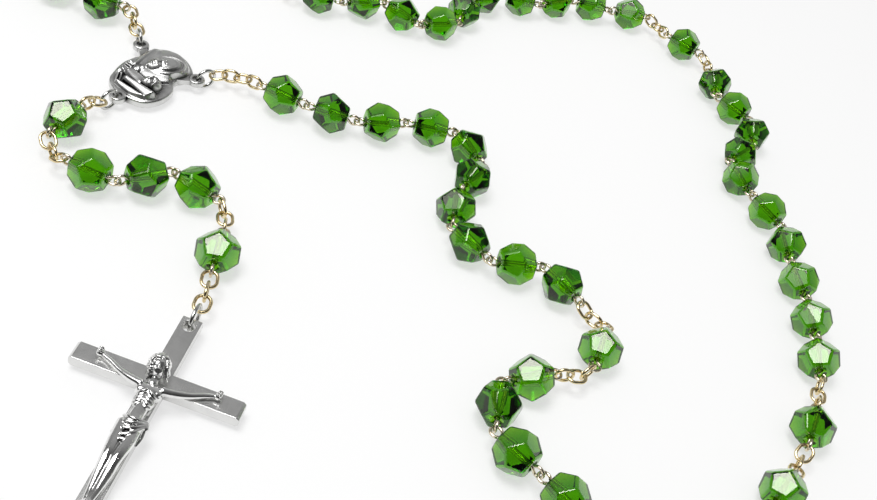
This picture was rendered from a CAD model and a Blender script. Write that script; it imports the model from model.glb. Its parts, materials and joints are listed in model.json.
import json
import math
import random

import bmesh
import bpy
import numpy as np
from mathutils import Matrix, Vector

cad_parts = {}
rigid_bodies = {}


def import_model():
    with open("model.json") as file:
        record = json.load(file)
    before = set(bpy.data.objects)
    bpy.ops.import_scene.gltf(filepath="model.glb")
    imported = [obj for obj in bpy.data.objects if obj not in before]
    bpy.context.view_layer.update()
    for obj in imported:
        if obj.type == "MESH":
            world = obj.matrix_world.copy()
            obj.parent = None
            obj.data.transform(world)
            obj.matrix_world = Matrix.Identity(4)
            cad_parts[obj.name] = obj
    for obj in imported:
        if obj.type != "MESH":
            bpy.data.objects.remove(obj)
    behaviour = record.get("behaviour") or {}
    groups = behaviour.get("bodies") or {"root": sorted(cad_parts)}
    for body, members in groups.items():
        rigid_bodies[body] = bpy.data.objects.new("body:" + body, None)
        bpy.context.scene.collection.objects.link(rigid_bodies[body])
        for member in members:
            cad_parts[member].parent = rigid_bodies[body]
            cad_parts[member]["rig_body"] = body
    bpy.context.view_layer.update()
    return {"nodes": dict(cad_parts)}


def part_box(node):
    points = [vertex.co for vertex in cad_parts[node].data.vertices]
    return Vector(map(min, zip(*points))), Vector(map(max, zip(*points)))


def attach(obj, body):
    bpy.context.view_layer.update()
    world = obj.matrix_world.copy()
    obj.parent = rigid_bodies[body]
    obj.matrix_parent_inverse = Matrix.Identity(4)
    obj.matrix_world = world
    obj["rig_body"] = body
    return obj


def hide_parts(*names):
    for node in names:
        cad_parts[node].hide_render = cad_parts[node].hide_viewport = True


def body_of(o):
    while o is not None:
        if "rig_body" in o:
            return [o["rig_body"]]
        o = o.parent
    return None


# A rosary of green glass beads on gilt pins, with a silver medal and crucifix.

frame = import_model()
print("frame loaded:", len(frame["nodes"]), "nodes")


def unit(vector):
    return vector / np.linalg.norm(vector)


def feed(tree, node, sources):   # plain values, or links from other sockets
    for name, source in sources.items():
        if isinstance(source, bpy.types.NodeSocket):
            tree.links.new(source, node.inputs[name])
        else:
            node.inputs[name].default_value = source


def newNode(tree, kind, place=(0, 0), sources=None, **settings):
    node = tree.nodes.new(kind)
    node.location = place
    for name, value in settings.items():
        setattr(node, name, value)
    feed(tree, node, sources or {})
    return node


def mathNode(tree, operation, a, b, place):
    return newNode(tree, "ShaderNodeMath", place, {0: a, 1: b}, operation=operation).outputs[0]


def addSocket(tree, name, kind="Float", value=None, side="INPUT"):
    socket = tree.interface.new_socket(name, in_out=side, socket_type="NodeSocket" + kind)
    if value is not None:
        socket.default_value = value


def newObject(name, data):
    thing = bpy.data.objects.new(name, data)
    bpy.context.scene.collection.objects.link(thing)
    return thing


def bakedMesh(name, mesh):   # plain mesh data from a finished bmesh
    data = bpy.data.meshes.new(name)
    mesh.to_mesh(data)
    mesh.free()
    return data


def shadeSmooth(data):
    data.polygons.foreach_set("use_smooth", [True] * len(data.polygons))


def cutRim(mesh, **plane):   # slices the mesh and gives the edges of the cut
    cut = bmesh.ops.bisect_plane(
        mesh, geom=mesh.verts[:] + mesh.edges[:] + mesh.faces[:], **plane)["geom_cut"]
    return [e for e in cut if isinstance(e, bmesh.types.BMEdge)]


def curvePoint(p0, p1, p2, p3, t):   # on a smooth curve, between p1 and p2
    return 0.5 * (2 * p1 + (p2 - p0) * t + (2 * p0 - 5 * p1 + 4 * p2 - p3) * t * t
                  + (3 * p1 - p0 - 3 * p2 + p3) * t ** 3)


def settled(thing):   # bakes the modifiers into a plain mesh
    depsgraph = bpy.context.evaluated_depsgraph_get()
    mesh = bpy.data.meshes.new_from_object(thing.evaluated_get(depsgraph))
    thing.modifiers.clear()
    old = thing.data
    thing.data = mesh
    bpy.data.meshes.remove(old)
    return thing


def loosePieces(nodeName):   # every separate solid of a node
    mesh = frame["nodes"][nodeName].data
    mesh.calc_loop_triangles()
    points = np.empty(len(mesh.vertices) * 3)
    mesh.vertices.foreach_get("co", points)
    faces = np.empty(len(mesh.loop_triangles) * 3, int)
    mesh.loop_triangles.foreach_get("vertices", faces)
    points, same = np.unique(np.round(points.reshape(-1, 3) * 1e6), axis=0, return_inverse=True)
    points, faces = points / 1e6, same.ravel()[faces].reshape(-1, 3)
    label, before = np.arange(len(points)), None
    while before is None or (label != before).any():
        before = label.copy()
        np.minimum.at(label, faces.ravel(), label[faces].min(1).repeat(3))
        label = label[label]
    found = []
    for name in np.unique(label):
        part = faces[label[faces[:, 0]] == name]
        corners = points[part]
        cross = np.cross(corners[:, 1] - corners[:, 0], corners[:, 2] - corners[:, 0])
        areas = np.linalg.norm(cross, axis=1) / 2
        solid = areas > 1e-14
        corners, cross, areas = corners[solid], cross[solid], areas[solid]
        found.append({"points": points[label == name], "normals": cross / areas[:, None] / 2,
                      "areas": areas,
                      "middle": (corners.mean(1) * areas[:, None]).sum(0) / areas.sum()})
    return found


def mainAxes(points):   # longest first
    return np.linalg.eigh(np.cov((points - points.mean(0)).T))[1].T[::-1]


def turnOf(alongX, alongZ):   # a rotation as XYZ angles
    x = unit(alongX)
    z = unit(alongZ - x * np.dot(alongZ, x))
    y = np.cross(z, x)
    return Matrix((x, y, z)).transposed().to_euler("XYZ")


def linkPlace(piece):
    axes = mainAxes(piece["points"])
    low, high = (piece["points"] @ axes.T).min(0), (piece["points"] @ axes.T).max(0)
    return ((low + high) / 2) @ axes, turnOf(axes[0], axes[2])


def ringPlace(piece):   # +X points at the cut
    axes = mainAxes(piece["points"])
    flat = piece["points"] @ axes.T
    table = np.c_[2 * flat[:, :2], np.ones(len(flat))]
    a, b, _ = np.linalg.lstsq(table, (flat[:, :2] ** 2).sum(1), rcond=None)[0]
    middle = np.array((a, b, (flat[:, 2].min() + flat[:, 2].max()) / 2))
    arms = flat[:, :2] - middle[:2]
    angles = np.sort(np.arctan2(arms[:, 1], arms[:, 0]))
    gaps = np.diff(np.r_[angles, angles[0] + 2 * math.pi])
    cut = angles[gaps.argmax()] + gaps.max() / 2
    return middle @ axes, turnOf(axes[0] * math.cos(cut) + axes[1] * math.sin(cut), axes[2])


def facetDirections(piece):   # the twelve directions with the most flat area
    rounded = np.round(piece["normals"] * 200)
    which = np.unique(rounded, axis=0, return_inverse=True)[1].ravel()
    sums = np.bincount(which, weights=piece["areas"])
    found = []
    for kind in np.argsort(-sums):
        normal = piece["normals"][which == kind][0]
        if all(np.dot(normal, other) < 0.98 for other in found):
            found.append(normal)
        if len(found) == 12:
            break
    return found


def beadPlaces(beadPiece, pinPieces):
    pin = min(pinPieces, key=lambda p: np.linalg.norm(p["middle"] - beadPiece["middle"]))
    rough = mainAxes(pin["points"])[0]
    facets = facetDirections(beadPiece)
    along = max(facets, key=lambda f: np.dot(f, rough))
    side = min(facets, key=lambda f: abs(np.dot(f, along) - 1 / math.sqrt(5)))
    middle = beadPiece["middle"]
    reachOut = (pin["points"] - middle) @ along
    eye = pin["points"][reachOut > glassBead["length"] / 2 + glassBead["eyeFrom"]]
    upright = mainAxes(eye)[2]
    sideways = np.cross(along, unit(side - along * np.dot(side, along)))
    return (middle, turnOf(along, sideways)), (middle, turnOf(along, upright))


def pointCloud(name, places):
    mesh = bpy.data.meshes.new(name)
    mesh.from_pydata([tuple(p[0]) for p in places], [], [])
    turns = mesh.attributes.new("turn", "FLOAT_VECTOR", "POINT")
    turns.data.foreach_set("vector", [v for p in places for v in p[1]])
    return newObject(name, mesh)


glassBead = {
    "length": 0.0063,         # between the two pierced facets
    "edgeRound": 0.00065,
    "edgeSegments": 4,
    "bore": 0.0011,
    "mouth": 0.0022,          # width and depth of the countersinks
    "mouthDepth": 0.0005,
    "sharpFrom": 25,          # degrees between faces
    "flatness": 60,
    "eyeFrom": 0.0004,        # beyond the facet, where the pin is all eye
}


def spindle(size, sides=24):   # what the drill takes out
    half, deep = size["length"] / 2, size["mouthDepth"]
    wide, narrow, far = size["mouth"] / 2, size["bore"] / 2, size["length"]
    flare = (wide - narrow) / deep
    profile = [(-far, 0), (-far, wide + flare * (far - half)), (-half + deep, narrow),
               (half - deep, narrow), (far, wide + flare * (far - half)), (far, 0)]
    mesh = bmesh.new()
    verts = [mesh.verts.new((x, r, 0)) for x, r in profile]
    edges = [mesh.edges.new(pair) for pair in zip(verts, verts[1:])]
    bmesh.ops.spin(mesh, geom=verts + edges, axis=(1, 0, 0), cent=(0, 0, 0),
                   steps=sides, angle=2 * math.pi)
    bmesh.ops.remove_doubles(mesh, verts=mesh.verts, dist=1e-7)
    bmesh.ops.recalc_face_normals(mesh, faces=mesh.faces)
    return newObject("spindle", bakedMesh("spindle", mesh))


def cutBead(size):   # twelve facets, rounded edges, drilled
    tilt = math.atan(2)
    facets = [Vector((1, 0, 0))]
    for i in range(5):
        turn = math.radians(72 * i)
        facets.append(Vector((math.cos(tilt), math.sin(tilt) * math.cos(turn),
                              math.sin(tilt) * math.sin(turn))))
    half = size["length"] / 2
    mesh = bmesh.new()
    bmesh.ops.create_cube(mesh, size=3 * size["length"])
    for facet in facets:
        for side in (facet, -facet):
            rim = cutRim(mesh, dist=1e-9, plane_co=side * half, plane_no=side,
                         clear_outer=True)
            bmesh.ops.contextual_create(mesh, geom=rim)
    bmesh.ops.bevel(mesh, geom=mesh.edges[:] + mesh.verts[:], affect="EDGES", profile=0.5,
                    offset=size["edgeRound"] * math.tan(tilt / 2), offset_type="OFFSET",
                    segments=size["edgeSegments"])
    bmesh.ops.recalc_face_normals(mesh, faces=mesh.faces)
    bead = newObject("beadBlank", bakedMesh("beadBlank", mesh))
    drill = spindle(size)
    bore = bead.modifiers.new("Bore", "BOOLEAN")
    bore.operation, bore.solver, bore.object = "DIFFERENCE", "EXACT", drill
    settled(bead)
    shadeSmooth(bead.data)
    bead.data.set_sharp_from_angle(angle=math.radians(size["sharpFrom"]))
    polish = bead.modifiers.new("FlatFacets", "WEIGHTED_NORMAL")
    polish.mode, polish.weight, polish.keep_sharp = "FACE_AREA", size["flatness"], True
    settled(bead)
    bpy.data.objects.remove(drill)
    return bead


def stringingTree(name):   # puts a blank on every point, turned by the point's "turn"
    tree = bpy.data.node_groups.new(name, "GeometryNodeTree")
    for label, kind in (("Geometry", "Geometry"), ("Blank", "Object"), ("Finish", "Material")):
        addSocket(tree, label, kind)
    addSocket(tree, "Geometry", "Geometry", side="OUTPUT")
    start = newNode(tree, "NodeGroupInput", (-800, 0))
    blank = newNode(tree, "GeometryNodeObjectInfo", (-600, -150),
                    {"Object": start.outputs["Blank"]})
    finishPieces(tree, start, blank.outputs["Geometry"])
    return tree


def finishPieces(tree, start, shape):   # instance on the points, realise, set the finish
    turn = newNode(tree, "GeometryNodeInputNamedAttribute", (-400, -350), {"Name": "turn"},
                   data_type="FLOAT_VECTOR")
    rotate = newNode(tree, "FunctionNodeEulerToRotation", (-200, -350),
                     {"Euler": turn.outputs["Attribute"]})
    placed = newNode(tree, "GeometryNodeInstanceOnPoints", (0, 0), {
        "Points": start.outputs["Geometry"], "Instance": shape,
        "Rotation": rotate.outputs["Rotation"]})
    real = newNode(tree, "GeometryNodeRealizeInstances", (200, 0),
                   {"Geometry": placed.outputs["Instances"]})
    paint = newNode(tree, "GeometryNodeSetMaterial", (400, 0), {
        "Geometry": real.outputs["Geometry"], "Material": start.outputs["Finish"]})
    newNode(tree, "NodeGroupOutput", (600, 0), {"Geometry": paint.outputs["Geometry"]})


def stringUp(nodeName, places, tree, values, finish, pieceName):
    points = pointCloud(pieceName, places)
    strung = points.modifiers.new("Strung", "NODES")
    strung.node_group = tree
    sockets = {s.name: s.identifier for s in tree.interface.items_tree
               if s.item_type == "SOCKET" and s.in_out == "INPUT"}
    for socketName, value in dict(values, Finish=finish).items():
        strung[sockets[socketName]] = value
    settled(points)
    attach(points, body_of(frame["nodes"][nodeName])[0])
    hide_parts(nodeName)


chainLink = {"length": 0.0037, "width": 0.0030, "wire": 0.00057, "around": 40, "sides": 12}
jumpRing = {"width": 0.0042, "wire": 0.00065, "open": 6, "around": 56, "sides": 12}
crossRing = dict(jumpRing, width=0.0050)
beadPin = {
    "wire": 0.00052,
    "eye": 0.00243,
    "reach": 0.00235,         # of the eye's tip beyond the facet
    "throat": 55,             # how far the stem bends before the eye
    "mouth": 65,
    "around": 22,
    "sides": 10,
}


def wireTree(name, closed):   # a closed link, or a ring with a cut
    tree = bpy.data.node_groups.new(name, "GeometryNodeTree")
    addSocket(tree, "Geometry", "Geometry")
    for label in ("Length", "Width", "Wire", "Open"):
        addSocket(tree, label, "Float", 0.003)
    for label in ("Around", "Sides"):
        addSocket(tree, label, "Int", 16)
    addSocket(tree, "Finish", "Material")
    addSocket(tree, "Geometry", "Geometry", side="OUTPUT")
    start = newNode(tree, "NodeGroupInput", (-1800, 0))
    size = start.outputs
    span = mathNode(tree, "SUBTRACT", size["Width"], size["Wire"], (-1600, 100))
    radius = mathNode(tree, "MULTIPLY", span, 0.5, (-1450, 100))
    bend = {"Resolution": size["Around"], "Radius": radius}
    if closed:
        path = newNode(tree, "GeometryNodeCurvePrimitiveCircle", (-1300, 100), bend)
        longer = mathNode(tree, "SUBTRACT", size["Length"], size["Width"], (-1600, -150))
        half = mathNode(tree, "MULTIPLY", longer, 0.5, (-1450, -150))
        at = newNode(tree, "GeometryNodeInputPosition", (-1450, -350))
        split = newNode(tree, "ShaderNodeSeparateXYZ", (-1300, -350),
                        {"Vector": at.outputs["Position"]})
        side = mathNode(tree, "SIGN", split.outputs["X"], 0, (-1150, -350))
        shift = mathNode(tree, "MULTIPLY", side, half, (-1000, -250))
        push = newNode(tree, "ShaderNodeCombineXYZ", (-850, -250), {"X": shift})
        stretch = newNode(tree, "GeometryNodeSetPosition", (-700, 0), {
            "Geometry": path.outputs["Curve"], "Offset": push.outputs["Vector"]})
        outline = stretch.outputs["Geometry"]
    else:
        opened = mathNode(tree, "RADIANS", size["Open"], 0, (-1600, -150))
        bend["Start Angle"] = mathNode(tree, "MULTIPLY", opened, 0.5, (-1450, -250))
        bend["Sweep Angle"] = mathNode(tree, "SUBTRACT", 2 * math.pi, opened, (-1450, -100))
        outline = newNode(tree, "GeometryNodeCurveArc", (-1300, 100), bend).outputs["Curve"]
    thin = mathNode(tree, "MULTIPLY", size["Wire"], 0.5, (-850, -450))
    section = newNode(tree, "GeometryNodeCurvePrimitiveCircle", (-700, -250),
                      {"Resolution": size["Sides"], "Radius": thin})
    body = newNode(tree, "GeometryNodeCurveToMesh", (-500, 0), {
        "Fill Caps": True, "Curve": outline, "Profile Curve": section.outputs["Curve"]})
    finishPieces(tree, start, body.outputs["Mesh"])
    return tree


def wireSizes(size):
    return {"Length": size.get("length", size["width"]), "Width": size["width"],
            "Wire": size["wire"], "Open": float(size.get("open", 0)),
            "Around": size["around"], "Sides": size["sides"]}


def pinPath(pin, bead):   # stem, throat and eye of one end, then the other end
    eyeRadius = (pin["eye"] - pin["wire"]) / 2
    middle = bead["length"] / 2 + pin["reach"] - pin["wire"] / 2 - eyeRadius
    throat = math.radians(pin["throat"])
    bend = eyeRadius * math.cos(throat) / (1 - math.cos(throat))
    start = middle - (eyeRadius + bend) * math.sin(throat)
    first = math.pi / 2 + throat
    last = first - math.radians(360 - pin["mouth"])
    end = [(start + bend * math.sin(a), bend * (1 - math.cos(a)))
           for a in np.linspace(0, throat, 6)]
    end += [(middle + eyeRadius * math.cos(a), eyeRadius * math.sin(a))
            for a in np.linspace(first, last, pin["around"])[1:]]
    flat = [Vector((x, y, 0)) for x, y in end]
    upright = [Vector((-x, 0, -y)) for x, y in end]
    return upright[::-1] + flat


def bentPin(pin, bead):
    points = pinPath(pin, bead)
    curve = bpy.data.curves.new("pinPath", "CURVE")
    curve.dimensions = "3D"
    line = curve.splines.new("POLY")
    line.points.add(len(points) - 1)
    for spot, place in zip(line.points, points):
        spot.co = (*place, 1)
    curve.bevel_depth, curve.bevel_resolution = pin["wire"] / 2, 2
    curve.use_fill_caps = True
    path = newObject("pinPath", curve)
    depsgraph = bpy.context.evaluated_depsgraph_get()
    mesh = bpy.data.meshes.new_from_object(path.evaluated_get(depsgraph))
    bpy.data.objects.remove(path)
    shadeSmooth(mesh)
    return newObject("pinBlank", mesh)


def effectGroup(name, inputs, outputs):
    tree = bpy.data.node_groups.new(name, "ShaderNodeTree")
    for label, value in inputs.items():
        addSocket(tree, label, "Float", value)
    for label in outputs:
        addSocket(tree, label, side="OUTPUT")
    return tree, newNode(tree, "NodeGroupInput", (-900, 0)).outputs


def recessGroup():   # 1 deep in folds and corners, 0 on open faces
    tree, given = effectGroup("darkRecesses", {"Reach": 0.0006, "Amount": 1.0}, ["Mask"])
    hollow = newNode(tree, "ShaderNodeAmbientOcclusion", (-600, 0),
                     {"Distance": given["Reach"]}, samples=8, only_local=True)
    flipped = mathNode(tree, "SUBTRACT", 1.0, hollow.outputs["AO"], (-350, 0))
    raised = mathNode(tree, "MULTIPLY", flipped, given["Amount"], (-150, 0))
    clipped = mathNode(tree, "MINIMUM", raised, 1.0, (50, 0))
    newNode(tree, "NodeGroupOutput", (500, 0), {"Mask": clipped})
    return tree


def handlingGroup():   # soft cloudy wear and fine hairlines, from the piece's own coordinates
    tree, given = effectGroup("handling", {"Cloud size": 900.0, "Hairlines": 3000.0,
                                           "Depth": 1.0}, ["Cloud", "Height"])
    spot = newNode(tree, "ShaderNodeTexCoord", (-1100, -200)).outputs["Object"]
    cloud = newNode(tree, "ShaderNodeTexNoise", (-600, 150), {
        "Vector": spot, "Scale": given["Cloud size"], "Detail": 4.0}, noise_dimensions="3D")
    skew = newNode(tree, "ShaderNodeMapping", (-900, -300), {
        "Vector": spot, "Rotation": (0.5, 0.3, 0.8), "Scale": (1.0, 0.06, 1.0)})
    lines = newNode(tree, "ShaderNodeTexNoise", (-600, -250), {
        "Vector": skew.outputs["Vector"], "Scale": given["Hairlines"], "Detail": 2.0},
        noise_dimensions="3D")
    height = mathNode(tree, "MULTIPLY", lines.outputs["Fac"], given["Depth"], (-300, -250))
    newNode(tree, "NodeGroupOutput", (500, 0), {"Cloud": cloud.outputs["Fac"], "Height": height})
    return tree


darkRecesses, handling = recessGroup(), handlingGroup()


def newFinish(name):
    material = bpy.data.materials.new(name)
    material.use_nodes = True
    tree = material.node_tree
    return material, tree, tree.nodes["Principled BSDF"]


def ramp(tree, factor, stops, place):
    node = newNode(tree, "ShaderNodeValToRGB", place, {"Fac": factor})
    while len(node.color_ramp.elements) < len(stops):
        node.color_ramp.elements.new(0.5)
    for element, (position, colour) in zip(node.color_ramp.elements, stops):
        element.position = position
        element.color = (*colour, 1)
    return node.outputs["Color"]


def grey(value):
    return (value, value, value)


def effect(tree, group, place, values):
    return newNode(tree, "ShaderNodeGroup", place, values, node_tree=group).outputs


def metalFinish(name, look):   # cast or drawn metal, darker in its recesses
    material, tree, shader = newFinish(name)
    wear = effect(tree, handling, (-900, 200),
                  {"Cloud size": look["cloud"], "Hairlines": look["hairlines"]})
    recess = effect(tree, darkRecesses, (-900, -200),
                    {"Reach": look["reach"], "Amount": look["tarnish"]})
    skin = ramp(tree, wear["Cloud"], [(0.35, look["shade"]), (0.65, look["colour"])],
                (-650, 300))
    dull = ramp(tree, wear["Cloud"], [(0.3, grey(look["polish"])),
                (0.7, grey(look["polish"] + look["matt"]))], (-650, 0))
    darker = newNode(tree, "ShaderNodeMix", (-300, 200), {
        "Factor": recess["Mask"], "A": skin, "B": (*look["recess"], 1)}, data_type="RGBA")
    bump = newNode(tree, "ShaderNodeBump", (-300, -300), {
        "Strength": look["relief"], "Distance": look["scratch"], "Height": wear["Height"]})
    feed(tree, shader, {"Metallic": 1.0, "Base Color": darker.outputs["Result"],
                        "Roughness": dull, "Normal": bump.outputs["Normal"]})
    return material


giltPinLook = {"colour": (0.84, 0.77, 0.62), "shade": (0.70, 0.61, 0.44),
               "recess": (0.12, 0.09, 0.04), "polish": 0.16, "matt": 0.10, "reach": 0.0005,
               "tarnish": 0.7, "cloud": 700.0, "hairlines": 4000.0, "relief": 0.25,
               "scratch": 0.00002}
giltLinkLook = dict(giltPinLook, colour=(0.86, 0.74, 0.48), shade=(0.70, 0.56, 0.31))
steelRingLook = dict(giltPinLook, colour=(0.72, 0.72, 0.70), shade=(0.58, 0.58, 0.56),
                     recess=(0.06, 0.06, 0.06), polish=0.12)
castSilverLook = {"colour": (0.74, 0.74, 0.73), "shade": (0.60, 0.60, 0.59),
                  "recess": (0.03, 0.03, 0.03), "polish": 0.27, "matt": 0.10,
                  "reach": 0.0013, "tarnish": 2.6, "cloud": 500.0, "hairlines": 2500.0,
                  "relief": 0.3, "scratch": 0.00002}
crossLook = dict(castSilverLook, colour=(0.76, 0.76, 0.75), shade=(0.72, 0.72, 0.71),
                 polish=0.22, matt=0.04, reach=0.0010, tarnish=1.0)
figureLook = dict(castSilverLook, colour=(0.88, 0.88, 0.87), shade=(0.78, 0.78, 0.77),
                  polish=0.13, matt=0.06, reach=0.0008, tarnish=1.4)

glassLook = {
    "tint": (0.84, 0.94, 0.22), "tintDeep": (0.74, 0.91, 0.13),
    "absorb": (0.52, 0.80, 0.012), "density": 800.0,
    "polish": 0.01, "smudge": 0.04, "ior": 1.55, "swirl": 260.0, "gloss": 0.40, "coat": 0.20,
    "coatIor": 1.7, "sheenTint": (0.92, 1.0, 0.74, 1.0),
}


def glassFinish(look):
    material, tree, shader = newFinish("greenGlass")
    wear = effect(tree, handling, (-900, 200), {"Cloud size": look["swirl"]})
    tint = ramp(tree, wear["Cloud"], [(0.35, look["tintDeep"]), (0.65, look["tint"])],
                (-600, 200))
    smudge = ramp(tree, wear["Cloud"], [(0.4, grey(look["polish"])),
                  (0.8, grey(look["smudge"]))], (-600, -50))
    feed(tree, shader, {
        "Transmission Weight": 1.0, "IOR": look["ior"], "Specular IOR Level": look["gloss"],
        "Coat Weight": look["coat"], "Coat Roughness": look["polish"],
        "Coat IOR": look["coatIor"], "Specular Tint": look["sheenTint"],
        "Base Color": tint, "Roughness": smudge})
    inside = newNode(tree, "ShaderNodeVolumeAbsorption", (0, -400),
                     {"Color": (*look["absorb"], 1), "Density": look["density"]})
    feed(tree, tree.nodes["Material Output"], {"Volume": inside.outputs["Volume"]})
    return material


greenGlass = glassFinish(glassLook)
giltPin, giltLink = metalFinish("giltPin", giltPinLook), metalFinish("giltLink", giltLinkLook)
steelRing = metalFinish("steelRing", steelRingLook)
castSilver = metalFinish("castSilver", castSilverLook)
crossSilver = metalFinish("crossSilver", crossLook)
polishedFigure = metalFinish("polishedFigure", figureLook)
print("finishes made")


blankBead = cutBead(glassBead)
blankPin = bentPin(beadPin, glassBead)
stringing = stringingTree("stringing")
linkTree, ringTree = wireTree("chainLinks", True), wireTree("jumpRings", False)

for nodeName in sorted(frame["nodes"]):
    if nodeName.endswith(("_beads", "_bead")):
        pinNode = nodeName.replace("_bead", "_wire")
        pins = loosePieces(pinNode)
        places = [beadPlaces(bead, pins) for bead in loosePieces(nodeName)]
        stringUp(nodeName, [p[0] for p in places], stringing, {"Blank": blankBead},
                 greenGlass, nodeName.replace("_bead", "_glass_bead"))
        stringUp(pinNode, [p[1] for p in places], stringing, {"Blank": blankPin},
                 giltPin, pinNode.replace("_wire", "_pin"))
    elif "chain" in nodeName:
        stringUp(nodeName, [linkPlace(p) for p in loosePieces(nodeName)], linkTree,
                 wireSizes(chainLink), giltLink, nodeName + "_links")
    elif nodeName.startswith("ring"):
        size = crossRing if nodeName == "ring_crucifix" else jumpRing
        stringUp(nodeName, [ringPlace(p) for p in loosePieces(nodeName)], ringTree,
                 wireSizes(size), steelRing, nodeName + "_wire")
for blank in (blankBead, blankPin):
    bpy.data.objects.remove(blank)
print("beads, pins, links and rings strung")


medalPlate = {
    "turn": -17.0,             # of its upright axis, from +Y towards +X
    "thick": 0.0016,
    "deepest": 0.00228,        # of the relief above the plate
    "lift": 1.18,              # stretches the whole relief
    "edge": 0.00045,
    "shoulder": 0.0007,        # plain margin inside the edge
    "middle": (0.6, 1.8),      # of the outline, in millimetres
    "outline": [(5.5, 7.3), (3.6, 9.5), (0.4, 10.6), (-2.8, 9.8), (-4.7, 7.4), (-4.6, 4.2),
                (-5.3, 1.4), (-4.6, -2.2), (-3.2, -5.0), (0.3, -6.4), (4.6, -5.4),
                (6.4, -2.4), (6.2, 1.2), (4.6, 3.6)],
    "around": 460, "rings": 150, "blur": 2,
    "ears": [(6.7, 7.3), (-6.7, 7.3), (0.8, -7.2)],
    "earWidth": 3.0, "earHole": 1.5, "earThick": 1.2, "earLift": 0.6,
    "earRound": 0.0003, "neck": 1.7, "neckLong": 0.0026, "neckIn": 0.0004, "sharpFrom": 40,
}
motherHead = {"at": (0.45, 3.9), "wide": 4.0, "tall": 5.2, "turn": -40, "rise": 1.86}
childHead = {"at": (2.9, -0.95), "wide": 3.5, "tall": 4.1, "turn": -46, "rise": 1.72}


def smooth(edge0, edge1, value):
    t = np.clip((value - edge0) / (edge1 - edge0), 0, 1)
    return t * t * (3 - 2 * t)


def blendUp(a, b, soft):   # the higher of two forms, with a soft join
    mix = np.clip(0.5 + (b - a) / (2 * soft), 0, 1)
    return a + (b - a) * mix + soft * mix * (1 - mix)


def dome(x, y, at, wide, tall, turn, rise):
    c, s = math.cos(math.radians(turn)), math.sin(math.radians(turn))
    u = ((x - at[0]) * c + (y - at[1]) * s) / (wide / 2)
    v = (-(x - at[0]) * s + (y - at[1]) * c) / (tall / 2)
    out = u * u + v * v
    return rise * np.sqrt(np.clip(1 - out, 0, 1)) - 0.6 * np.clip(out - 1, 0, 1), u, v


def limb(x, y, a, b, wideA, wideB, rise, tilt=0.0, roundness=0.6):   # a bar from a to b
    ax, ay, dx, dy = a[0], a[1], b[0] - a[0], b[1] - a[1]
    length = math.hypot(dx, dy)
    t = np.clip(((x - ax) * dx + (y - ay) * dy) / length ** 2, 0, 1)
    half = (wideA + (wideB - wideA) * t) / 2
    away = np.hypot(x - ax - dx * t, y - ay - dy * t) / half
    across = ((y - ay) * dx - (x - ax) * dy) / length
    level = rise * np.clip(1 - away ** 2, 0, 1) ** roundness + tilt * across * (away < 1)
    return level - 0.8 * np.clip(away - 1, 0, 1), t, away


def bump(u, v, at, size, rise):
    return rise * np.exp(-((u - at[0]) / size[0]) ** 2 - ((v - at[1]) / size[1]) ** 2)


def calmFace(u, v):   # plain even features on a head that fills u, v = -1..1
    level = bump(u, v, (0, -0.02), (0.12, 0.30), 0.22) + bump(u, v, (0, -0.22), (0.18, 0.10), 0.20)
    for side in (-1, 1):
        level = level - bump(u, v, (side * 0.36, 0.10), (0.24, 0.14), 0.26)
        level = level + bump(u, v, (side * 0.36, 0.06), (0.17, 0.08), 0.20)
        level = level + bump(u, v, (side * 0.34, 0.30), (0.26, 0.07), 0.10)
        level = level + bump(u, v, (side * 0.48, -0.24), (0.22, 0.20), 0.10)
        level = level - bump(u, v, (side * 0.22, -0.40), (0.10, 0.16), 0.07)
    level = level + bump(u, v, (0, -0.44), (0.22, 0.045), 0.13) - bump(u, v, (0, -0.50),
                                                                      (0.24, 0.03), 0.10)
    level = level + bump(u, v, (0, -0.56), (0.18, 0.05), 0.13)
    return level + bump(u, v, (0, -0.80), (0.24, 0.14), 0.16)


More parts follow.
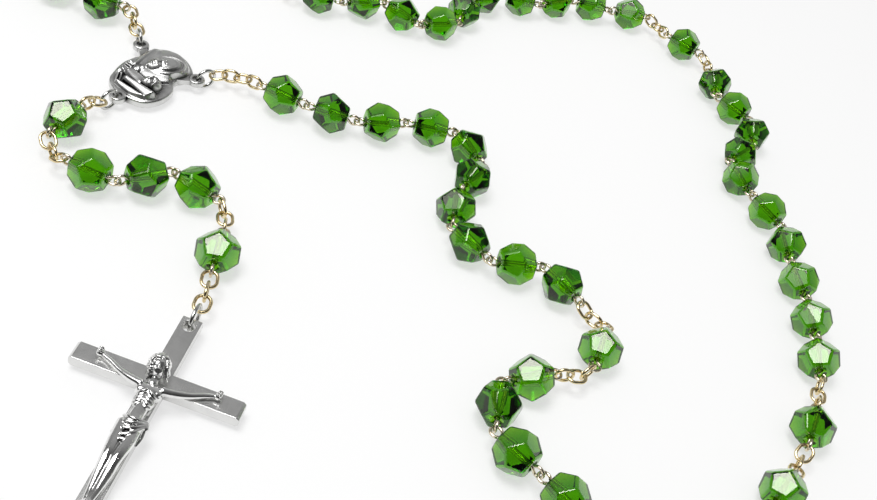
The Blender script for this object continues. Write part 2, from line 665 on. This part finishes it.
def medalRelief(x, y):   # heights above the plate, from far forms to near ones
    x, y = x * 1000, y * 1000
    veil = dome(x, y, (0.5, 5.4), 10.2, 11.2, -30, 1.10)[0]
    level = blendUp(0 * x, veil, 0.12)
    side, t, away = limb(x, y, (-2.6, 6.8), (-3.3, 1.4), 3.4, 2.6, 1.0)
    side = side + 0.14 * np.sin((x * 0.9 + 0.15 * y) * 5.2) * (away < 1) * (1 - away)
    level = blendUp(level, side, 0.2)
    robe = limb(x, y, (-3.2, 1.6), (-3.6, -1.8), 2.4, 2.0, 0.7)[0]
    level = blendUp(level, robe, 0.15)
    cape, u, v = dome(x, y, (1.35, 5.05), 6.5, 8.2, -40, 1.62)
    out = np.hypot(u, v)
    cape = cape + 0.15 * np.cos((out - 0.80) * 24) * smooth(0.42, 0.56, out) * smooth(-0.6, 0.0, v)
    level = blendUp(level, cape, 0.1)
    neck, t, away = limb(x, y, (-0.9, 2.2), (-1.9, 0.5), 1.9, 2.3, 0.9)
    level = blendUp(level, neck + 0.07 * np.cos(t * 15) * (away < 1), 0.12)
    head, u, v = dome(x, y, motherHead["at"], motherHead["wide"], motherHead["tall"],
                      motherHead["turn"], motherHead["rise"])
    inside = smooth(1.0, 0.8, np.hypot(u, v))
    hair = smooth(0.46, 0.54, v + 0.45 * u * u)
    waves = 0.09 * np.cos(np.abs(u) * 24 + 3.0 * np.sin(v * 5))
    head = head + inside * (calmFace(u, v) * (1 - hair) + hair * (0.12 + waves))
    level = blendUp(level, head, 0.06)
    back = limb(x, y, (-2.0, -0.9), (1.2, -1.7), 2.4, 3.0, 1.0)[0]
    level = blendUp(level, back, 0.05)
    lap, t, away = limb(x, y, (4.6, -2.9), (0.6, -2.9), 2.0, 1.6, 0.6)
    level = blendUp(level, lap + 0.08 * np.sin(x * 5 + y * 2) * (away < 1), 0.06)
    for a, b, wide, narrow in (((-2.5, 0.3), (-3.5, 0.2), 1.0, 0.8),
                               ((-2.3, -0.4), (-3.7, -0.4), 1.0, 0.8),
                               ((-2.4, -1.1), (-3.5, -1.0), 0.9, 0.7)):
        level = blendUp(level, limb(x, y, a, b, wide, narrow, 1.15)[0], 0.04)
    small, u, v = dome(x, y, childHead["at"], childHead["wide"], childHead["tall"],
                       childHead["turn"], childHead["rise"])
    inside = smooth(1.0, 0.8, np.hypot(u, v))
    hair = smooth(0.26, 0.34, v + 0.5 * u * u)
    curls = 0.10 * np.sin(np.hypot(u, v - 0.75) * 17 + 1.5 * np.sin(np.arctan2(u, v - 0.75) * 5))
    small = small + inside * (calmFace(u, v) * (1 - hair) + hair * (0.10 + curls))
    level = blendUp(level, small, 0.05)
    for a, b, wide, narrow, rise, tilt in (
            ((-1.0, -3.2), (5.0, -3.75), 1.0, 2.1, 0.95, 0.50),
            ((-1.9, -4.7), (4.3, -5.15), 0.8, 1.5, 0.50, 0.50)):
        level = blendUp(level, limb(x, y, a, b, wide, narrow, rise, tilt, 0.22)[0], 0.03)
    for a, b in (((-4.3, 1.6), (-3.9, -2.0)), ((-3.9, -2.0), (-2.5, -4.4))):
        for inset, rise in ((0.25, 0.42), (0.95, 0.34)):
            rim = limb(x, y, (a[0] + inset, a[1]), (b[0] + inset, b[1]), 0.5, 0.5, rise)[0]
            level = blendUp(level, rim, 0.04)
    return medalPlate["lift"] * level / 1000


def smoothOutline(points, count):   # a closed curve through the points, in metres
    knots = np.array(points + points[:3]) / 1000
    loop = []
    for i in range(len(points)):
        near = [knots[(i + k) % len(points)] for k in range(4)]
        loop += [curvePoint(*near, t) for t in np.linspace(0, 1, 40, endpoint=False)]
    loop = np.array(loop)
    steps = np.r_[0, np.cumsum(np.linalg.norm(np.diff(np.r_[loop, loop[:1]], axis=0), axis=1))]
    at = np.linspace(0, steps[-1], count, endpoint=False)
    closed = np.r_[loop, loop[:1]]
    return np.c_[np.interp(at, steps, closed[:, 0]), np.interp(at, steps, closed[:, 1])]


def castPlate(size):   # rings from the rim to the middle carry the relief
    edge = smoothOutline(size["outline"], size["around"])
    middle = np.array(size["middle"]) / 1000
    rows = []
    arms = edge - middle
    reach = np.linalg.norm(arms, axis=1)[:, None]
    for angle in np.linspace(0, math.pi / 2, 6):   # lower rounded edge, then the wall
        rows.append((edge - arms / reach * size["edge"] * (1 - math.sin(angle)),
                     size["edge"] * (1 - math.cos(angle)) * np.ones(len(edge))))
    top = size["thick"]
    for angle in np.linspace(0, math.pi / 2, 6):
        rows.append((edge - arms / reach * size["edge"] * (1 - math.cos(angle)),
                     (top - size["edge"] * (1 - math.sin(angle))) * np.ones(len(edge))))
    rim = rows[-1][0]
    spots = [middle + (rim - middle) * (1 - k / size["rings"]) for k in range(size["rings"])]
    margins = [np.linalg.norm(rim - p, axis=1) for p in spots]
    rise = np.array([medalRelief(p[:, 0], p[:, 1]) * smooth(0.0, size["shoulder"], margin)
                     for p, margin in zip(spots, margins)])
    rise = np.clip(rise, 0, size["deepest"])
    for _ in range(size["blur"]):
        rise = (2 * rise + np.roll(rise, 1, 1) + np.roll(rise, -1, 1)) / 4
        rise[1:-1] = (2 * rise[1:-1] + rise[:-2] + rise[2:]) / 4
    rows += [(p, top + level) for p, level in zip(spots[1:], rise[1:])]
    verts = [(*p, z) for spots, heights in rows for p, z in zip(spots, heights)]
    count, faces = size["around"], []
    for r in range(len(rows) - 1):
        for i in range(count):
            j = (i + 1) % count
            faces.append((r * count + i, r * count + j, (r + 1) * count + j, (r + 1) * count + i))
    verts.append((*middle, rows[-1][1].mean()))
    last = (len(rows) - 1) * count
    faces += [(last + i, last + (i + 1) % count, len(verts) - 1) for i in range(count)]
    faces.append(tuple(range(count))[::-1])
    return verts, faces


def addEar(mesh, size, at):   # a pierced round lug with a short neck to the plate
    low = size["earLift"] / 1000
    thick, outer, inner = size["earThick"] / 1000, size["earWidth"] / 2000, size["earHole"] / 2000
    soft = size["earRound"]
    profile = [(inner, low + soft * 0.6), (inner + soft * 0.4, low)]
    profile += [(outer - soft + soft * math.sin(a), low + soft - soft * math.cos(a))
                for a in np.linspace(0, math.pi / 2, 5)]
    profile += [(outer - soft + soft * math.cos(a), low + thick - soft + soft * math.sin(a))
                for a in np.linspace(0, math.pi / 2, 5)]
    profile += [(inner + soft * 0.4, low + thick), (inner, low + thick - soft * 0.6)]
    verts = [mesh.verts.new((at[0] / 1000 + r, at[1] / 1000, z)) for r, z in profile]
    edges = [mesh.edges.new(pair) for pair in zip(verts, verts[1:] + verts[:1])]
    bmesh.ops.spin(mesh, geom=verts + edges, axis=(0, 0, 1), steps=48, angle=2 * math.pi,
                   cent=(at[0] / 1000, at[1] / 1000, 0))
    bar = bmesh.ops.create_cube(mesh, size=1.0)["verts"]
    away = math.atan2(at[1] - size["middle"][1], at[0] - size["middle"][0])
    back = outer + size["neckLong"] / 2 - size["neckIn"]
    bmesh.ops.scale(mesh, vec=(size["neckLong"], size["neck"] / 1000, thick * 0.8), verts=bar)
    bmesh.ops.rotate(mesh, matrix=Matrix.Rotation(away, 3, "Z"), verts=bar)
    bmesh.ops.translate(mesh, verts=bar, vec=(at[0] / 1000 - back * math.cos(away),
                                              at[1] / 1000 - back * math.sin(away),
                                              low + thick / 2))


def makeMedal(size):
    verts, faces = castPlate(size)
    data = bpy.data.meshes.new("medalCasting")
    data.from_pydata(verts, [], faces)
    mesh = bmesh.new()
    mesh.from_mesh(data)
    for at in size["ears"]:
        addEar(mesh, size, at)
    bmesh.ops.remove_doubles(mesh, verts=mesh.verts, dist=1e-7)
    bmesh.ops.recalc_face_normals(mesh, faces=mesh.faces)
    bmesh.ops.rotate(mesh, matrix=Matrix.Rotation(math.radians(size["turn"]), 3, "Z"),
                     verts=mesh.verts)
    low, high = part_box("medal")
    spots = np.array([v.co for v in mesh.verts])
    shift = (low + high) / 2 - Vector((spots.min(0) + spots.max(0)) / 2)
    bmesh.ops.translate(mesh, verts=mesh.verts, vec=(shift.x, shift.y, low.z - spots.min(0)[2]))
    mesh.to_mesh(data)
    mesh.free()
    shadeSmooth(data)
    data.set_sharp_from_angle(angle=math.radians(size["sharpFrom"]))
    data.materials.append(castSilver)
    medal = newObject("medalCasting", data)
    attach(medal, "medal")
    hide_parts("medal")


makeMedal(medalPlate)
print("medal cast")


figure = {
    "voxel": 0.00008, "smoothing": 2, "softness": 0.5, "keep": 0.45,
    "crossbarDown": 0.0126,      # from the top end to the middle of the crossbar
    "bedding": 0.00003,          # cut flat this far above the cross
    "head": {"at": (-0.30, 0.55, 2.15), "wide": 2.4, "tall": 3.1, "deep": 2.5,
             "bow": 20, "lean": 16},
    "curl": {"count": 190, "size": 0.52, "seed": 7},
    # x, y, z and width of every joint, in millimetres from the crossbar's middle
    "arm": [(1.7, -2.5, 1.3, 1.35), (3.5, -2.0, 1.05, 1.15), (5.2, -1.3, 0.8, 0.95),
            (7.2, -0.2, 0.6, 0.85), (8.7, 0.35, 0.55, 0.62)],
    "limbs": [   # legs, feet, neck and waist
        [(0.95, -9.4, 1.0, 2.1), (1.0, -12.0, 1.35, 1.95), (0.75, -14.6, 1.5, 1.75),
         (0.6, -16.6, 0.95, 1.6), (0.45, -19.4, 0.7, 1.2), (0.2, -21.9, 0.75, 0.95)],
        [(-0.95, -9.4, 1.0, 2.1), (-0.8, -12.0, 1.25, 1.95), (-0.6, -14.6, 1.35, 1.75),
         (-0.55, -16.6, 0.8, 1.6), (-0.4, -19.4, 0.55, 1.2), (-0.2, -21.9, 0.55, 0.95)],
        [(0.1, -21.6, 0.95, 1.0), (0.0, -22.8, 0.85, 1.05), (-0.05, -23.9, 0.6, 0.95)],
        [(-0.2, -0.6, 1.35, 1.35), (-0.1, -1.9, 1.2, 1.5)],
        [(0.1, -6.0, 1.0, 2.2), (0.0, -7.4, 1.0, 2.3), (0.0, -8.6, 1.0, 2.5)],
    ],
    "masses": [   # x, y, z, width, height, depth, turn
        (0.0, -3.2, 0.9, 4.1, 3.0, 2.3, 0), (0.85, -3.2, 1.48, 2.0, 1.3, 0.85, -14),
        (-0.85, -3.2, 1.48, 2.0, 1.3, 0.85, 14), (0.0, -5.0, 1.0, 3.1, 3.0, 2.2, 0),
        (0.0, -7.4, 1.1, 2.3, 2.2, 1.8, 0), (0.0, -9.6, 0.8, 3.6, 3.2, 2.5, 0),
    ],
    "ribs": 5, "ribWidth": 0.30,
    "cloth": [   # folds that sweep from one hip to the other, then hang at the knot
        [(-1.45, -7.9, 0.9, 0.45), (-0.6, -8.45, 2.0, 0.45), (0.7, -8.6, 2.1, 0.45),
         (1.8, -8.0, 1.2, 0.5)],
        [(-1.6, -8.8, 1.0, 0.5), (-0.6, -9.4, 2.1, 0.5), (0.8, -9.2, 2.2, 0.5),
         (1.9, -8.3, 1.2, 0.5)],
        [(-1.65, -9.8, 1.0, 0.5), (-0.5, -10.4, 2.0, 0.5), (0.9, -9.9, 2.1, 0.5),
         (1.9, -8.6, 1.3, 0.5)],
        [(-1.75, -10.9, 0.9, 0.55), (-0.4, -11.4, 1.9, 0.5), (1.0, -10.7, 2.1, 0.5),
         (1.95, -9.0, 1.3, 0.5)],
        [(-1.5, -11.6, 1.2, 0.6), (0.2, -12.1, 2.0, 0.6), (1.5, -11.3, 1.6, 0.6)],
        [(1.95, -8.3, 1.0, 0.95), (2.1, -8.9, 1.0, 1.0)],
        [(2.0, -9.0, 0.9, 0.7), (2.15, -10.3, 0.7, 0.6), (2.0, -11.5, 0.6, 0.45)],
        [(1.7, -9.2, 1.2, 0.6), (1.75, -10.6, 1.0, 0.5), (1.55, -11.9, 0.9, 0.4)],
    ],
}


def crossPlace():   # the crucifix's own axes, with the origin on its face at the crossing
    plate = frame["nodes"]["crucifix"]
    low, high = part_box("crucifix")
    flat = max(plate.data.polygons, key=lambda face: face.area)
    up = Vector(flat.normal) * (1 if flat.normal.z > 0 else -1)
    right = Vector((1, 0, 0))
    along = up.cross(right).normalized()
    spots = np.array([v.co for v in plate.data.vertices])
    top = spots @ np.array(along)
    height = (spots @ np.array(up)).max()
    place = (right * ((low.x + high.x) / 2) + along * (float(top.max()) - figure["crossbarDown"])
             + up * float(height))
    turn = Matrix((right, along, up)).transposed().to_4x4()
    turn.translation = place
    return turn


ballBlanks = {}


def ballShape(fine):   # one round blank of each fineness
    if fine not in ballBlanks:
        mesh = bmesh.new()
        bmesh.ops.create_icosphere(mesh, subdivisions=fine, radius=0.5)
        ballBlanks[fine] = (np.array([v.co for v in mesh.verts]),
                            np.array([[v.index for v in face.verts] for face in mesh.faces]))
        mesh.free()
    return ballBlanks[fine]


def spun(lean, bow):
    return np.array(Matrix.Rotation(math.radians(lean), 3, "Z")
                    @ Matrix.Rotation(math.radians(bow), 3, "X"))


def addBall(clay, at, sizes, turn=0.0, fine=3):
    spots, faces = ballShape(fine)
    clay.append(((spots * sizes) @ spun(turn, 0).T + at, faces))


def addTube(clay, joints, steps=7):   # balls that follow a smooth line through the joints
    rows = np.array(joints)
    spots = [rows[0]]
    for i in range(len(rows) - 1):
        p0, p1 = rows[max(i - 1, 0)], rows[i]
        p2, p3 = rows[i + 1], rows[min(i + 2, len(rows) - 1)]
        count = max(2, int(steps * np.linalg.norm((p2 - p1)[:3]) / max(p1[3], 0.3)))
        spots += [curvePoint(p0, p1, p2, p3, t) for t in np.linspace(0, 1, count + 1)[1:]]
    for x, y, z, wide in spots:
        addBall(clay, (x, y, z), (wide, wide, wide), fine=2)


def addHead(clay, head, curl):   # built upright, then bowed onto the chest
    part = []
    wide, tall, deep = head["wide"], head["tall"], head["deep"]
    addBall(part, (0, 0.15, 0), (wide, tall * 0.86, deep))                      # skull
    addBall(part, (0, -0.75, 0.28), (wide * 0.70, tall * 0.52, deep * 0.72))    # jaw
    addBall(part, (0, -0.10, 1.18), (0.28, 0.85, 0.50))                         # nose
    addBall(part, (0, -0.42, 1.30), (0.46, 0.28, 0.40))
    addBall(part, (0, 0.40, 1.02), (1.5, 0.24, 0.46))                           # brow
    for side in (-1, 1):
        addBall(part, (side * 0.42, 0.10, 0.98), (0.46, 0.24, 0.34))            # closed eyes
        addBall(part, (side * 0.50, -0.40, 0.88), (0.54, 0.60, 0.44))           # cheeks
        addTube(part, [(side * 0.08, -0.60, 1.20, 0.18), (side * 0.36, -0.76, 1.04, 0.16)])
        for k in range(4):                                                      # locks to the neck
            addTube(part, [(side * (0.95 + 0.12 * k), 0.9 - 0.4 * k, 0.45 - 0.25 * k, 0.62),
                           (side * (1.28 + 0.06 * k), -0.1 - 0.3 * k, 0.25 - 0.25 * k, 0.55),
                           (side * (1.05 + 0.05 * k), -0.8 - 0.2 * k, 0.35 - 0.25 * k, 0.50),
                           (side * (1.25 + 0.08 * k), -1.45 - 0.1 * k, 0.2 - 0.25 * k, 0.38)])
    addBall(part, (0, -0.78, 1.08), (0.42, 0.15, 0.26))                         # lip
    for row in range(3):                                                        # short beard
        for k in range(7):
            x = -0.54 + 0.18 * k
            addBall(part, (x, -1.0 - 0.22 * row + 0.5 * x * x, 1.0 - 0.14 * row - 0.4 * abs(x)),
                    (0.26, 0.34, 0.34), fine=2)
    chance = random.Random(curl["seed"])
    golden = math.pi * (3 - math.sqrt(5))
    for k in range(curl["count"]):
        z = 1 - 2 * (k + 0.5) / curl["count"]
        around = math.sqrt(1 - z * z)
        x, y = around * math.cos(golden * k), around * math.sin(golden * k)
        grow = curl["size"] * chance.uniform(0.8, 1.35)
        if z < -0.55 or (z > 0.30 and y < 0.55 - 0.3 * x * x and abs(x) < 0.72):
            continue
        addBall(part, (x * wide * 0.60, 0.2 + y * tall * 0.53, z * deep * 0.52 - 0.1),
                (grow, grow, grow), fine=2)
    spin = spun(head["lean"], head["bow"])
    clay.extend((spots @ spin.T + head["at"], faces) for spots, faces in part)


def addHand(clay, side):   # a palm with four curled fingers and a thumb over the nail
    addBall(clay, (side * 8.85, 0.45, 0.7), (1.15, 1.15, 0.8), turn=side * 20)
    for k in range(4):
        y = 0.86 - 0.28 * k
        addTube(clay, [(side * 9.10, y, 0.72, 0.32), (side * 9.26, y + 0.04, 1.05, 0.32),
                       (side * 9.02, y + 0.05, 1.35, 0.28)])
    addTube(clay, [(side * 8.6, 0.85, 0.8, 0.32), (side * 8.8, 1.0, 1.2, 0.28)])
    addBall(clay, (side * 8.75, 0.35, 1.08), (0.46, 0.46, 0.34))


def addRibs(clay, size):
    for k in range(size["ribs"]):
        y = -3.9 - 0.50 * k
        for side in (-1, 1):
            addTube(clay, [(side * 0.22, y + 0.36, 2.04, 0.24),
                           (side * 0.80, y - 0.02 - 0.06 * k, 1.92 - 0.02 * k, size["ribWidth"]),
                           (side * 1.28, y - 0.02, 1.46 - 0.04 * k, size["ribWidth"])])


def clayMesh(name, clay):
    counts = np.cumsum([0] + [len(spots) for spots, faces in clay])
    spots = np.concatenate([spots for spots, faces in clay]) / 1000
    faces = np.concatenate([faces + start for (_, faces), start in zip(clay, counts)])
    mesh = bpy.data.meshes.new(name)
    mesh.from_pydata(spots.tolist(), [], faces.tolist())
    return mesh


def makeFigure(size):
    clay = []
    for side in (1, -1):
        addTube(clay, [(side * x, y, z, wide) for x, y, z, wide in size["arm"]], steps=18)
    for joints in size["limbs"]:
        addTube(clay, joints, steps=18)
    for x, y, z, wide, tall, deep, turn in size["masses"]:
        addBall(clay, (x, y, z), (wide, tall, deep), turn)
    addRibs(clay, size)
    addHead(clay, size["head"], size["curl"])
    for side in (-1, 1):
        addHand(clay, side)
    for fold in size["cloth"]:
        addTube(clay, fold)
    for k in range(2):
        addTube(clay, [(-0.25 + 0.5 * k, -23.3, 0.9, 0.5), (-0.3 + 0.5 * k, -24.15, 0.55, 0.38)])
    figureObject = newObject("corpusFigure", clayMesh("corpusFigure", clay))
    skin = figureObject.modifiers.new("skin", "REMESH")
    skin.mode, skin.voxel_size = "VOXEL", size["voxel"]
    soft = figureObject.modifiers.new("soft", "SMOOTH")
    soft.factor, soft.iterations = size["softness"], size["smoothing"]
    fewer = figureObject.modifiers.new("fewer", "DECIMATE")
    fewer.ratio = size["keep"]
    settled(figureObject)
    mesh = bmesh.new()
    mesh.from_mesh(figureObject.data)
    rim = cutRim(mesh, dist=1e-7, plane_co=(0, 0, size["bedding"]), plane_no=(0, 0, 1),
                 clear_inner=True)
    bmesh.ops.holes_fill(mesh, edges=rim)
    bmesh.ops.transform(mesh, matrix=crossPlace(), verts=mesh.verts)
    mesh.to_mesh(figureObject.data)
    mesh.free()
    shadeSmooth(figureObject.data)
    figureObject.data.materials.clear()
    figureObject.data.materials.append(polishedFigure)
    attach(figureObject, "crucifix")
    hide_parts("corpus")
    print("figure has", len(figureObject.data.polygons), "faces")


crossPlate = {"edge": 0.00014, "easedFrom": 35, "flatTo": 1.5}


def makeCross(size):   # the frame's cross with its long edges eased
    data = frame["nodes"]["crucifix"].data.copy()
    mesh = bmesh.new()
    mesh.from_mesh(data)
    bmesh.ops.remove_doubles(mesh, verts=mesh.verts, dist=1e-6)
    bmesh.ops.dissolve_limit(mesh, angle_limit=math.radians(size["flatTo"]), verts=mesh.verts,
                             edges=mesh.edges)
    sharp = [e for e in mesh.edges if len(e.link_faces) == 2
             and e.calc_face_angle() > math.radians(size["easedFrom"])]
    bmesh.ops.bevel(mesh, geom=sharp, offset=size["edge"], offset_type="OFFSET", segments=3,
                    profile=0.5, affect="EDGES", clamp_overlap=True)
    bmesh.ops.triangulate(mesh, faces=[f for f in mesh.faces if len(f.verts) > 4])
    mesh.to_mesh(data)
    mesh.free()
    cross = newObject("crucifixPlate", data)
    shadeSmooth(data)
    even = cross.modifiers.new("even", "WEIGHTED_NORMAL")
    even.keep_sharp = True
    settled(cross)
    cross.data.materials.clear()
    cross.data.materials.append(crossSilver)
    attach(cross, "crucifix")
    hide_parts("crucifix")


makeFigure(figure)
makeCross(crossPlate)
print("crucifix and figure cast")


studio = {
    "table": 6.0, "tableColour": 0.42, "tableLift": 0.58,
    "roomLight": 0.45,
    "key": {"place": (-0.12, -0.08, 0.58), "width": 0.27, "power": 2.1},
    "cards": {"radius": 0.85, "lowest": 5, "near": 0.04, "middle": 0.10, "far": 0.42,
              "throughGlass": 0.45, "window": (-0.45, -0.15, 0.88), "windowSpread": 21,
              "windowEdge": 3, "windowGlow": 2.9},
}
viewpoint = {"place": (0.017170, -0.153267, 0.131626), "down": 42.5, "roll": 20.47,
             "lens": 45.69}


def shownDirectly(tree, place):   # 1 for camera, glossy and transmission rays
    ray = newNode(tree, "ShaderNodeLightPath", place).outputs
    seen = mathNode(tree, "MAXIMUM", ray["Is Camera Ray"], ray["Is Glossy Ray"],
                    (place[0] + 200, place[1]))
    return mathNode(tree, "MAXIMUM", seen, ray["Is Transmission Ray"],
                    (place[0] + 400, place[1]))


def layTable(size):
    half = size["table"] / 2
    mesh = bpy.data.meshes.new("table")
    mesh.from_pydata([(-half, -half, 0), (half, -half, 0), (half, half, 0), (-half, half, 0)],
                     [], [(0, 1, 2, 3)])
    table = newObject("table", mesh)
    material, tree, shader = newFinish("paleTable")
    feed(tree, shader, {"Base Color": (*grey(size["tableColour"]), 1), "Roughness": 1.0,
                        "Specular IOR Level": 0.0})
    lift = mathNode(tree, "MULTIPLY", shownDirectly(tree, (-700, -500)),
                    size["tableLift"], (-100, -500))
    glow = newNode(tree, "ShaderNodeEmission", (0, -500), {"Strength": lift})
    both = newNode(tree, "ShaderNodeAddShader", (300, 0),
                   {0: shader.outputs["BSDF"], 1: glow.outputs["Emission"]})
    feed(tree, tree.nodes["Material Output"], {"Surface": both.outputs["Shader"]})
    mesh.materials.append(material)


def lightRoom(size):
    world = bpy.data.worlds.new("paleRoom")
    bpy.context.scene.world = world
    world.use_nodes = True
    tree = world.node_tree
    strength = newNode(tree, "ShaderNodeMix", (-200, 0), {
        "Factor": shownDirectly(tree, (-800, 0)), "A": size["roomLight"], "B": 1.0},
        data_type="FLOAT")
    feed(tree, tree.nodes["Background"], {"Color": (1, 1, 1, 1),
                                          "Strength": strength.outputs["Result"]})


def hangLamp(name, lamp):
    light = bpy.data.lights.new(name, "AREA")
    light.shape, light.size, light.energy = "SQUARE", lamp["width"], lamp["power"]
    softbox = newObject(name, light)
    softbox.location = lamp["place"]
    softbox.rotation_euler = (-Vector(lamp["place"])).to_track_quat("-Z", "Y").to_euler()


def hangCards(cards):   # grey cards all round, seen only in metal and glass
    mesh = bmesh.new()
    low = math.radians(cards["lowest"])
    profile = [mesh.verts.new((cards["radius"] * math.cos(a), 0, cards["radius"] * math.sin(a)))
               for a in np.linspace(low, math.pi / 2, 13)]
    edges = [mesh.edges.new(pair) for pair in zip(profile, profile[1:])]
    bmesh.ops.spin(mesh, geom=profile + edges, axis=(0, 0, 1), cent=(0, 0, 0), steps=48,
                   angle=2 * math.pi)
    bmesh.ops.remove_doubles(mesh, verts=mesh.verts, dist=1e-5)
    data = bakedMesh("cards", mesh)
    shell = newObject("cards", data)
    material, tree, shader = newFinish("greyCards")
    tree.nodes.remove(shader)
    spot = newNode(tree, "ShaderNodeTexCoord", (-900, 0)).outputs["Object"]
    split = newNode(tree, "ShaderNodeSeparateXYZ", (-700, 0), {"Vector": spot})
    depth = newNode(tree, "ShaderNodeMapRange", (-500, 0), {
        "From Min": -cards["radius"], "From Max": cards["radius"], "Value": split.outputs["Y"]})
    shade = ramp(tree, depth.outputs["Result"], [(0.1, grey(cards["near"])),
                 (0.55, grey(cards["middle"])), (0.9, grey(cards["far"]))], (-300, 0))
    toward = newNode(tree, "ShaderNodeVectorMath", (-700, -250), {0: spot},
                     operation="NORMALIZE")
    facing = newNode(tree, "ShaderNodeVectorMath", (-500, -250), {
        0: toward.outputs["Vector"], 1: Vector(cards["window"]).normalized()},
        operation="DOT_PRODUCT")
    outer, inner = (math.cos(math.radians(cards["windowSpread"] + side * cards["windowEdge"]))
                    for side in (1, -1))
    window = newNode(tree, "ShaderNodeMapRange", (-300, -250), {
        "From Min": outer, "From Max": inner, "Value": facing.outputs["Value"]},
        interpolation_type="SMOOTHSTEP")
    lit = newNode(tree, "ShaderNodeMix", (-100, -150), {
        "Factor": window.outputs["Result"], "A": shade,
        "B": (*grey(cards["windowGlow"]), 1)}, data_type="RGBA")
    ray = newNode(tree, "ShaderNodeLightPath", (-300, 300)).outputs
    pale = newNode(tree, "ShaderNodeMix", (0, 0), {
        "Factor": ray["Is Transmission Ray"], "A": lit.outputs["Result"],
        "B": (*grey(cards["throughGlass"]), 1)}, data_type="RGBA")
    glow = newNode(tree, "ShaderNodeEmission", (200, 0), {"Color": pale.outputs["Result"]})
    feed(tree, tree.nodes["Material Output"], {"Surface": glow.outputs["Emission"]})
    data.materials.append(material)
    shell.visible_camera = shell.visible_diffuse = shell.visible_shadow = False


layTable(studio)
lightRoom(studio)
hangLamp("softbox", studio["key"])
hangCards(studio["cards"])

lens = bpy.data.cameras.new("viewpoint")
lens.lens, lens.sensor_width, lens.clip_start = viewpoint["lens"], 36.0, 0.001
camera = newObject("viewpoint", lens)
camera.rotation_euler = (Matrix.Rotation(math.radians(90 - viewpoint["down"]), 3, "X")
                         @ Matrix.Rotation(math.radians(viewpoint["roll"]), 3, "Z")).to_euler()
camera.location = viewpoint["place"]
bpy.context.scene.camera = camera
bpy.context.scene.view_settings.view_transform = "Standard"

print("scene ready")
